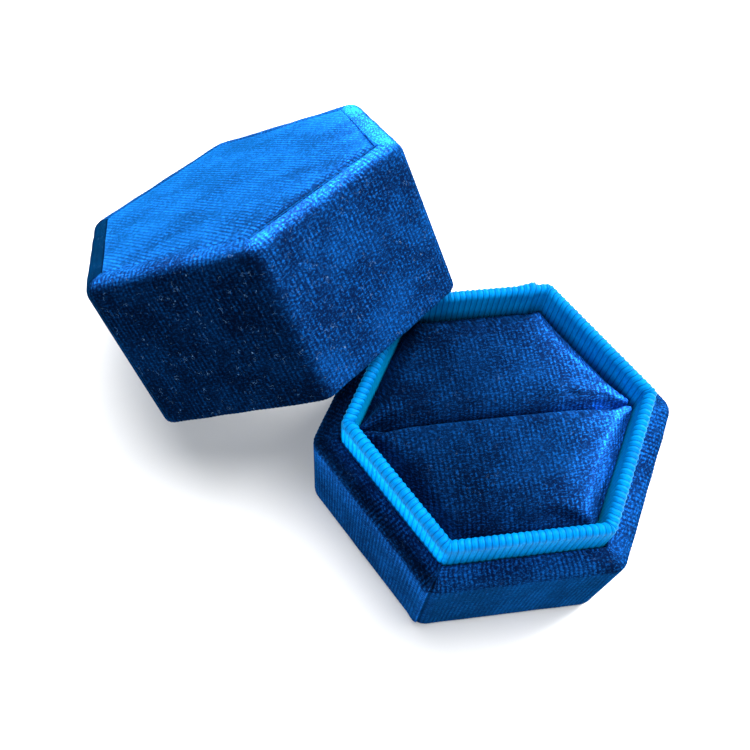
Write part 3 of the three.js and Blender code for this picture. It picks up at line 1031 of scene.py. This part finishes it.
# painted shade along the crease between the lid's wall and top
CREASE_SHADE = 1.6
CREASE_LINE = 0.4
TOP_PAINTED_LIGHT = 0.85
TOP_EDGE_PAINTED_LIGHTS = (
    (272, 2, 1.2, 3.5),
    (90, 6, 0.8, 0.8),
    (150, 4, 0.4, 1.5),
    (CREASE_SIDE, CREASE_SHARPNESS, -CREASE_SHADE, CREASE_LINE),
)
EDGE_START = 1.4  # the folded edge's painted light takes over from the wall's this far under the top
EDGE_FADE = 1.1


def crease(facing, away):
    """How far the velvet sinks beside the crease, at a distance away from it."""
    return CREASE_DEPTH * towards(facing, CREASE_SIDE, CREASE_SHARPNESS) * np.exp(-away / CREASE_WIDTH)


def painted_light_towards(facing, strokes):
    """The painted light and shade of strokes of (direction, sharpness, how much lighter)."""
    return sum(lighter * towards(facing, angle, sharpness) for angle, sharpness, lighter in strokes)


def make_lid_velvet():
    wrap = layer("lid_velvet_wrap", "lid")
    boards = layer("lid_wall_panel_1", "lid")
    lining_outer = WALL_INNER - GLUE_GAP
    board_face = WALL_OUTER + GLUE_GAP
    panel = layer("lid_top_velvet", "lid").outer + GLUE_GAP
    outside = [
        (LID_INNER, RIM_TURN_IN),
        *arc(LID_INNER + HEM_ROUND, wrap.low + HEM_ROUND, HEM_ROUND, -2, -1, 4),
        *arc(OUTER - VELVET, wrap.low + VELVET, VELVET, -1, 0, 6),
        *arc(OUTER - LID_TOP_ROUND, wrap.high - LID_TOP_ROUND, LID_TOP_ROUND, 0, 1, 10),
        (panel + CREASE_ROUND + CREASE_SHOULDER, wrap.high),
        *arc(panel + CREASE_ROUND, wrap.high - CREASE_ROUND, CREASE_ROUND, 1, 2, 4),
        (panel, boards.high + GLUE_GAP),
    ]
    backing = [
        (board_face, boards.high + GLUE_GAP),
        (board_face, boards.low - GLUE_GAP),
        (lining_outer, boards.low - GLUE_GAP),
        (lining_outer, RIM_TURN_IN),
        (LID_INNER, RIM_TURN_IN),
    ]
    shown = refined(outside, ROW_SPACING)
    section = shown + refined([shown[-1]] + backing, BACKING_SPACING)[1:]
    rim_rows = 10  # the first rows go down inside the rim and round its hem
    crease_rows = 2  # the last rows go down beside the top panel

    def push(along, index):
        if index < rim_rows or index >= len(shown) - crease_rows:
            return 0.0
        reach, level = shown[index]
        if reach < OUTER - LID_TOP_ROUND and level > wrap.high - 2 * CREASE_ROUND:
            return -crease(VELVET_OUTLINE.facing, reach - panel)
        return ripple(along, index, 23, VELVET_UNEVENNESS) + ribs(along)

    # painted light and shade: lighter and darker sides of the folded edge and the wall, and painted shade
    # along the crease
    def painted_light(facing, reach, level):
        over = np.clip((level - wrap.high + EDGE_START) / EDGE_FADE, 0, 1)
        at_crease = np.exp(-(reach - panel) / CREASE_LINE) * towards(facing, CREASE_SIDE, CREASE_SHARPNESS)
        painted_light_on_edge = EDGE_PAINTED_LIGHT + painted_light_towards(facing, EDGE_PAINTED_LIGHTS) - CREASE_SHADE * at_crease
        return over * painted_light_on_edge + (1 - over) * painted_light_towards(facing, WALL_PAINTED_LIGHTS)

    piece = sweep("lid_velvet", section, VELVET_OUTLINE, "lid", LID_VELVET, push, painted_light)
    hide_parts("lid_velvet_wrap")


def make_lid_top():
    top = layer("lid_top_velvet", "lid")
    edge = top.outer + PANEL_SPREAD
    profile = [
        (0, top.low),
        (edge * 0.5, top.low),
        (edge, top.low),
        *arc(edge - CREASE_ROUND, top.high - CREASE_ROUND, CREASE_ROUND, 0, 1, 4),
    ]
    inset = edge - CREASE_ROUND
    for ring in range(1, TOP_CROWN_RINGS):
        share = ring / TOP_CROWN_RINGS
        rise = TOP_CROWN * math.sin(share * math.pi / 2) ** TOP_CROWN_FULLNESS
        profile.append((inset * (1 - share), top.high + rise))
    profile.append((0, top.high + TOP_CROWN))
    def push(places):
        upper = places[:, 2] > (top.low + top.high) / 2
        across = np.sin(0.35 * places[:, 0] + 0.5)
        along = np.sin(0.28 * places[:, 1] + 1.1)
        facing = np.arctan2(places[:, 1], places[:, 0])
        sunk = crease(facing, edge - reach_of(places))
        return np.where(upper, TOP_UNEVENNESS * across * along - sunk, 0.0)

    # painted light over the top, with painted bands of light and shade along its edges and the crease
    def painted_light(places):
        facing = np.arctan2(places[:, 1], places[:, 0])
        to_edge = edge - reach_of(places)
        bands = [
            lighter * towards(facing, angle, sharpness) * np.exp(-to_edge / width)
            for angle, sharpness, lighter, width in TOP_EDGE_PAINTED_LIGHTS
        ]
        return TOP_PAINTED_LIGHT + sum(bands)

    piece = plate("lid_top_panel", profile, PLATE_OUTLINE, "lid", TOP_VELVET, TOP_GRAIN, push, painted_light)
    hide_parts("lid_top_velvet")


def make_lid_lining():
    """The lining of the lid's wall."""
    wall = layer("lid_wall_lining", "lid")
    inner_face = [(wall.inner, wall.high), (wall.inner, wall.low)]
    outer_face = [(wall.outer, wall.low), (wall.outer, wall.high)]
    section = refined(inner_face + outer_face + inner_face[:1], LINING_SPACING)
    inside = sum(1 for reach, level in section if reach == wall.inner)
    still_rows = 3  # at each end of the inner face

    def push(along, index):
        if index < still_rows or index >= inside - still_rows:
            return 0.0
        return ripple(along, index, 31, LINING_UNEVENNESS)

    outline = Outline(OUTER, CORNER_ROUND, LINING_SPACING)
    piece = sweep("lid_lining", section, outline, "lid", LINING_BLUE, push)
    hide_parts("lid_wall_lining")


def make_lid_padding():
    """The padded hexagon under the lid's top."""
    pad = layer("lid_top_padding", "lid")
    edge = pad.outer
    profile = []
    for ring in range(PADDING_RINGS):
        share = ring / PADDING_RINGS
        sag = PADDING_CROWN * math.cos(share * math.pi / 2) ** PADDING_FULLNESS
        profile.append((edge * PADDING_CROWN_WIDTH * share, pad.low - sag))
    profile += arc(edge - PADDING_ROUND, pad.low + PADDING_ROUND, PADDING_ROUND, -1, 0, 5)
    profile += [(edge, pad.high), (edge / 2, pad.high), (0, pad.high)]
    piece = plate("lid_padding", profile, PLATE_OUTLINE, "lid", LINING_BLUE)
    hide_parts("lid_top_padding")


make_lid_velvet()
make_lid_top()
make_lid_lining()
make_lid_padding()


# ---- CAD nodes that stay ----


def finish_node(node, material):
    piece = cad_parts[node]
    piece.data.materials.clear()
    piece.data.materials.append(material)


for side in range(SIDES):
    finish_node(f"base_wall_panel_{side + 1}", GREY_BOARD)
    finish_node(f"lid_wall_panel_{side + 1}", GREY_BOARD)
finish_node("base_bottom_board", GREY_BOARD)
finish_node("lid_top_board", GREY_BOARD)
finish_node("neck_card_strip", WHITE_CARD)
finish_node("insert_card", WHITE_CARD)


# ---- stage, light and camera ----


FLOOR_HALF = 1.5


def make_floor():
    n = Nodes("floor")
    clouds = n.noise(n.object_place(), 0.01, 2.0)
    n.set(
        Base_Color=n.mix(clouds, colour(0.86, 0.86, 0.86), colour(0.9, 0.9, 0.9)),
        Roughness=0.7,
        Specular_IOR_Level=0.2,
    )
    mesh = bpy.data.meshes.new("floor")
    corners = [(x * FLOOR_HALF, y * FLOOR_HALF, 0) for x, y in ((-1, -1), (1, -1), (1, 1), (-1, 1))]
    mesh.from_pydata(corners, [], [(0, 1, 2, 3)])
    mesh.materials.append(n.material)
    floor = bpy.data.objects.new("floor", mesh)
    bpy.context.scene.collection.objects.link(floor)
    floor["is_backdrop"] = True


def make_light(name, place, aim, size, power, tint):
    light = bpy.data.lights.new(name, "AREA")
    light.shape = "DISK"
    light.size = size
    light.energy = power
    light.color = tint
    lamp = bpy.data.objects.new(name, light)
    lamp.location = place
    lamp.rotation_euler = (Vector(aim) - Vector(place)).to_track_quat("-Z", "Y").to_euler()
    bpy.context.scene.collection.objects.link(lamp)


def make_world():
    world = bpy.data.worlds.new("studio")
    world.use_nodes = True
    background = world.node_tree.nodes["Background"]
    background.inputs["Color"].default_value = colour(0.95, 0.97, 1.0)
    background.inputs["Strength"].default_value = 0.15
    bpy.context.scene.world = world


# Each light's name, place, what it points at, size, power and tint
LIGHTS = (
    ("window", (0.62, 0.36, 0.5), (0, 0.02, 0.01), 0.4, 12.0, (1.0, 1.0, 1.0)),
    ("ceiling", (0.15, 0.25, 1.0), (0, 0.0, 0.01), 1.0, 20.0, (1.0, 1.0, 1.0)),
    ("fill", (-0.5, -0.55, 0.45), (0, 0.0, 0.01), 0.6, 5.5, (0.9, 0.95, 1.0)),
)
CAMERA_AIM = (-0.01509, 0.02145, 0.0)
CAMERA_DISTANCE = 0.16466
CAMERA_AZIMUTH = math.radians(-13.0)
CAMERA_ELEVATION = math.radians(62.14)
CAMERA_ROLL = math.radians(6.2)
CAMERA_LENS = 42.34


def make_camera():
    """The camera looks down at the open box from the front, a little rolled."""
    back = Vector(
        (
            math.sin(CAMERA_AZIMUTH) * math.cos(CAMERA_ELEVATION),
            -math.cos(CAMERA_AZIMUTH) * math.cos(CAMERA_ELEVATION),
            math.sin(CAMERA_ELEVATION),
        )
    )
    data = bpy.data.cameras.new("camera")
    data.lens = CAMERA_LENS
    data.clip_start = 0.005
    data.clip_end = 20.0
    camera = bpy.data.objects.new("camera", data)
    camera.location = Vector(CAMERA_AIM) + back * CAMERA_DISTANCE
    level = (-back).to_track_quat("-Z", "Y").to_matrix()
    roll = Matrix.Rotation(CAMERA_ROLL, 3, "Z")
    camera.rotation_euler = (level @ roll).to_euler()
    bpy.context.scene.collection.objects.link(camera)
    bpy.context.scene.camera = camera


make_floor()
make_world()
for settings in LIGHTS:
    make_light(*settings)
make_camera()
bpy.context.scene.view_settings.view_transform = "Standard"

boxes = {"cad": cad_box, "visual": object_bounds()}
{name: [list(corner) for corner in box] for name, box in boxes.items()}
